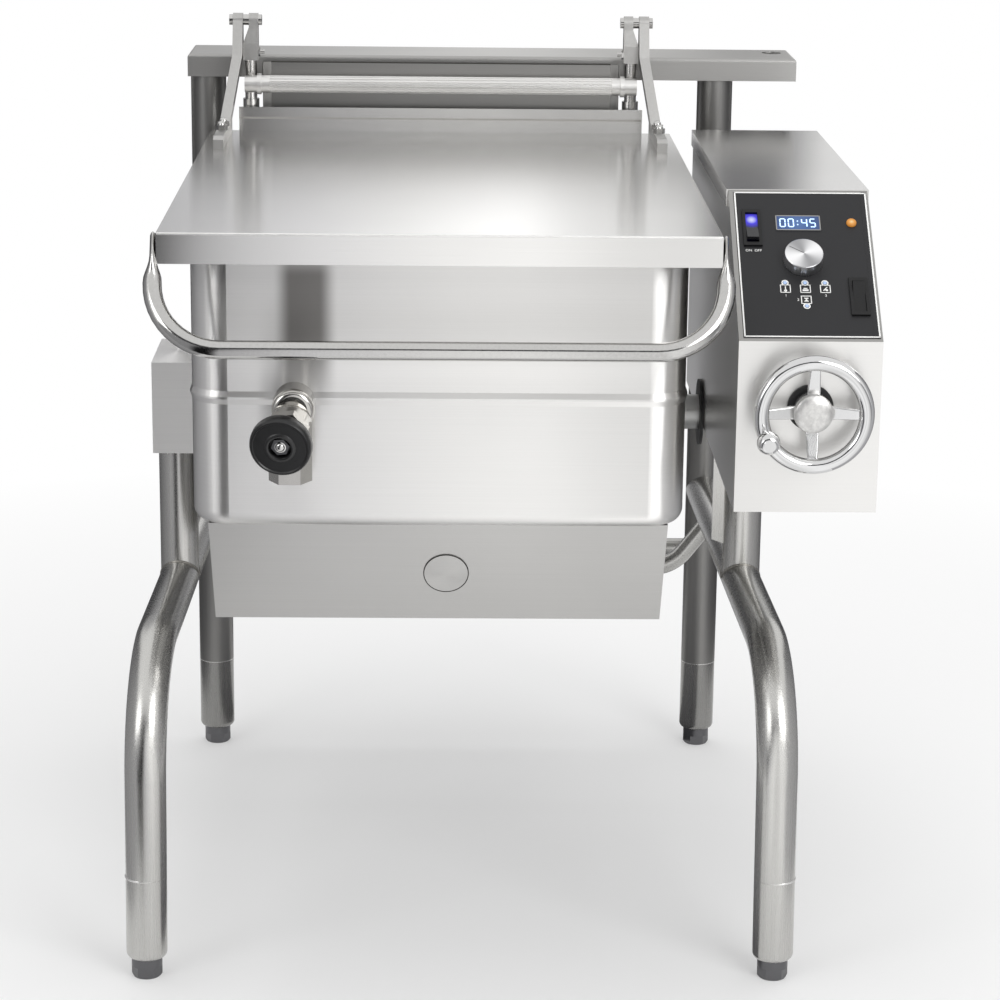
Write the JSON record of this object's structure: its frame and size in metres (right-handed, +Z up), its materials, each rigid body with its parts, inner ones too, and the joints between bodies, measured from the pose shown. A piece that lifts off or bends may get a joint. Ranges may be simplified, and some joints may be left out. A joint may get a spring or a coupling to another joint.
{
  "type": "tilting skillet",
  "caption": "Free-standing stainless tilting skillet on open tubular legs with a hinged lid, a hand-cranked worm tilt, a draw-off valve and a sloping control console.",
  "frame": {"origin": "On the floor, under the middle of the overall bounding box.", "axes": "+X to the right of a user who faces the front, +Y away from that user towards the rear beam, +Z up."},
  "size_m": [0.9014, 1.106, 1.1055],
  "materials": {
    "brushed_stainless": "brushed",
    "tube_stainless": "satin",
    "polished_chrome": "polished",
    "satin_aluminium": "satin",
    "dark_steel": "satin",
    "machined_steel": "machined",
    "bronze": "machined",
    "element_sheath": "oxidised",
    "black_rubber": "matte",
    "black_phenolic": "moulded",
    "black_plastic": "moulded",
    "label_film": "matte",
    "display_blue": "gloss",
    "amber_lens": "translucent",
    "led_lens": "translucent",
    "board_green": "matte"
  },
  "bodies": {
    "frame": {"side_frame_left": "tube_stainless", "side_frame_right": "tube_stainless", "rear_leg_left": "tube_stainless", "rear_leg_right": "tube_stainless", "mid_post_left": "tube_stainless", "mid_post_right": "tube_stainless", "rear_cross_rail": "tube_stainless", "curved_brace": "tube_stainless", "leg_ends": "tube_stainless", "top_beam": "brushed_stainless", "bearing_housing_left": "machined_steel", "bearing_housing_right": "machined_steel", "bronze_bushes": "bronze", "bearing_box_left": "brushed_stainless", "trunnion_seal": "black_rubber", "worm_bracket": "machined_steel", "shaft_grommet": "black_rubber", "console_body": "brushed_stainless", "console_cover": "brushed_stainless", "control_panel": "brushed_stainless", "panel_label": "label_film", "rocker_bezels": "black_plastic", "display_window": "display_blue", "pilot_lamp": "amber_lens", "indicator_leds": "led_lens", "control_board": "board_green"},
    "pan": {"pan_jacket": "brushed_stainless", "pan_vessel": "brushed_stainless", "heating_elements": "element_sheath", "shroud": "brushed_stainless", "knockout_disc": "brushed_stainless", "trunnion_left": "tube_stainless", "trunnion_right": "tube_stainless", "worm_sector": "machined_steel", "sector_nut": "machined_steel", "hinge_posts": "polished_chrome", "hinge_sockets": "tube_stainless", "hinge_heads": "satin_aluminium", "hinge_pins": "polished_chrome", "hinge_spacers": "black_phenolic", "spring_tube": "satin_aluminium", "valve_body": "polished_chrome"},
    "lid": {"lid_shell": "brushed_stainless", "lid_arms": "satin_aluminium", "arm_nuts": "polished_chrome", "lid_handle": "tube_stainless"},
    "wheel_shaft": {"handwheel": "polished_chrome", "worm_shaft": "machined_steel"},
    "crank": {"crank_knob": "polished_chrome"},
    "temperature_dial": {"temp_knob": "satin_aluminium"},
    "power_switch": {"rocker_power": "black_plastic"},
    "mode_switch": {"rocker_mode": "black_plastic"},
    "valve_disc": {"valve_plug": "black_rubber"},
    "valve_handle": {"valve_stem": "polished_chrome", "valve_knob": "black_phenolic"},
    "levelling_foot_front_left": {"foot_front_left": "dark_steel"},
    "levelling_foot_front_right": {"foot_front_right": "dark_steel"},
    "levelling_foot_rear_left": {"foot_rear_left": "dark_steel"},
    "levelling_foot_rear_right": {"foot_rear_right": "dark_steel"}
  },
  "joints": [
    {"name": "pan_tilt", "type": "hinge", "parent": "frame", "child": "pan", "pos_m": [-0.0665, -0.00655, 0.629], "axis": [1, 0, 0], "range_deg": [0, 62]},
    {"name": "lid_hinge", "type": "hinge", "parent": "pan", "child": "lid", "pos_m": [-0.0665, 0.41545, 1.096], "axis": [-1, 0, 0], "range_deg": [0, 85]},
    {"name": "handwheel_spin", "type": "hinge", "parent": "frame", "child": "wheel_shaft", "pos_m": [0.366, -0.50855, 0.744], "axis": [0, 1, 0], "range_deg": [0, 2976]},
    {"name": "crank_knob_spin", "type": "hinge", "parent": "wheel_shaft", "child": "crank", "pos_m": [0.31118, -0.55055, 0.71726], "axis": [0, 1, 0], "continuous": true},
    {"name": "temperature_turn", "type": "hinge", "parent": "frame", "child": "temperature_dial", "pos_m": [0.363, -0.37328, 0.89821], "axis": [0, -0.6247, 0.7809], "continuous": true},
    {"name": "power_rocker", "type": "hinge", "parent": "frame", "child": "power_switch", "pos_m": [0.3055, -0.32995, 0.92648], "axis": [1, 0, 0], "range_deg": [0, 18]},
    {"name": "mode_rocker", "type": "hinge", "parent": "frame", "child": "mode_switch", "pos_m": [0.4255, -0.41311, 0.85995], "axis": [1, 0, 0], "range_deg": [-18, 0]},
    {"name": "valve_lift", "type": "slide", "parent": "pan", "child": "valve_disc", "axis": [-0.1365, -0.9593, -0.247], "range_m": [0, 0.008]},
    {"name": "valve_turn", "type": "hinge", "parent": "valve_disc", "child": "valve_handle", "pos_m": [-0.2399, -0.46855, 0.7219], "axis": [-0.1365, -0.9593, -0.247], "range_deg": [0, 720]},
    {"name": "foot_front_left_screw", "type": "slide", "parent": "frame", "child": "levelling_foot_front_left", "axis": [-0.0105, 0.0002, -0.9999], "range_m": [-0.01, 0.025]},
    {"name": "foot_front_right_screw", "type": "slide", "parent": "frame", "child": "levelling_foot_front_right", "axis": [0.0105, 0.0002, -0.9999], "range_m": [-0.01, 0.025]},
    {"name": "foot_rear_left_screw", "type": "slide", "parent": "frame", "child": "levelling_foot_rear_left", "axis": [0, 0, -1], "range_m": [-0.01, 0.025]},
    {"name": "foot_rear_right_screw", "type": "slide", "parent": "frame", "child": "levelling_foot_rear_right", "axis": [0, 0, -1], "range_m": [-0.01, 0.025]}
  ],
  "couplings": [
    {"joint": "handwheel_spin", "follows": "pan_tilt", "ratio": 48},
    {"joint": "valve_turn", "follows": "valve_lift", "rad_per_m": 1570.8}
  ]
}
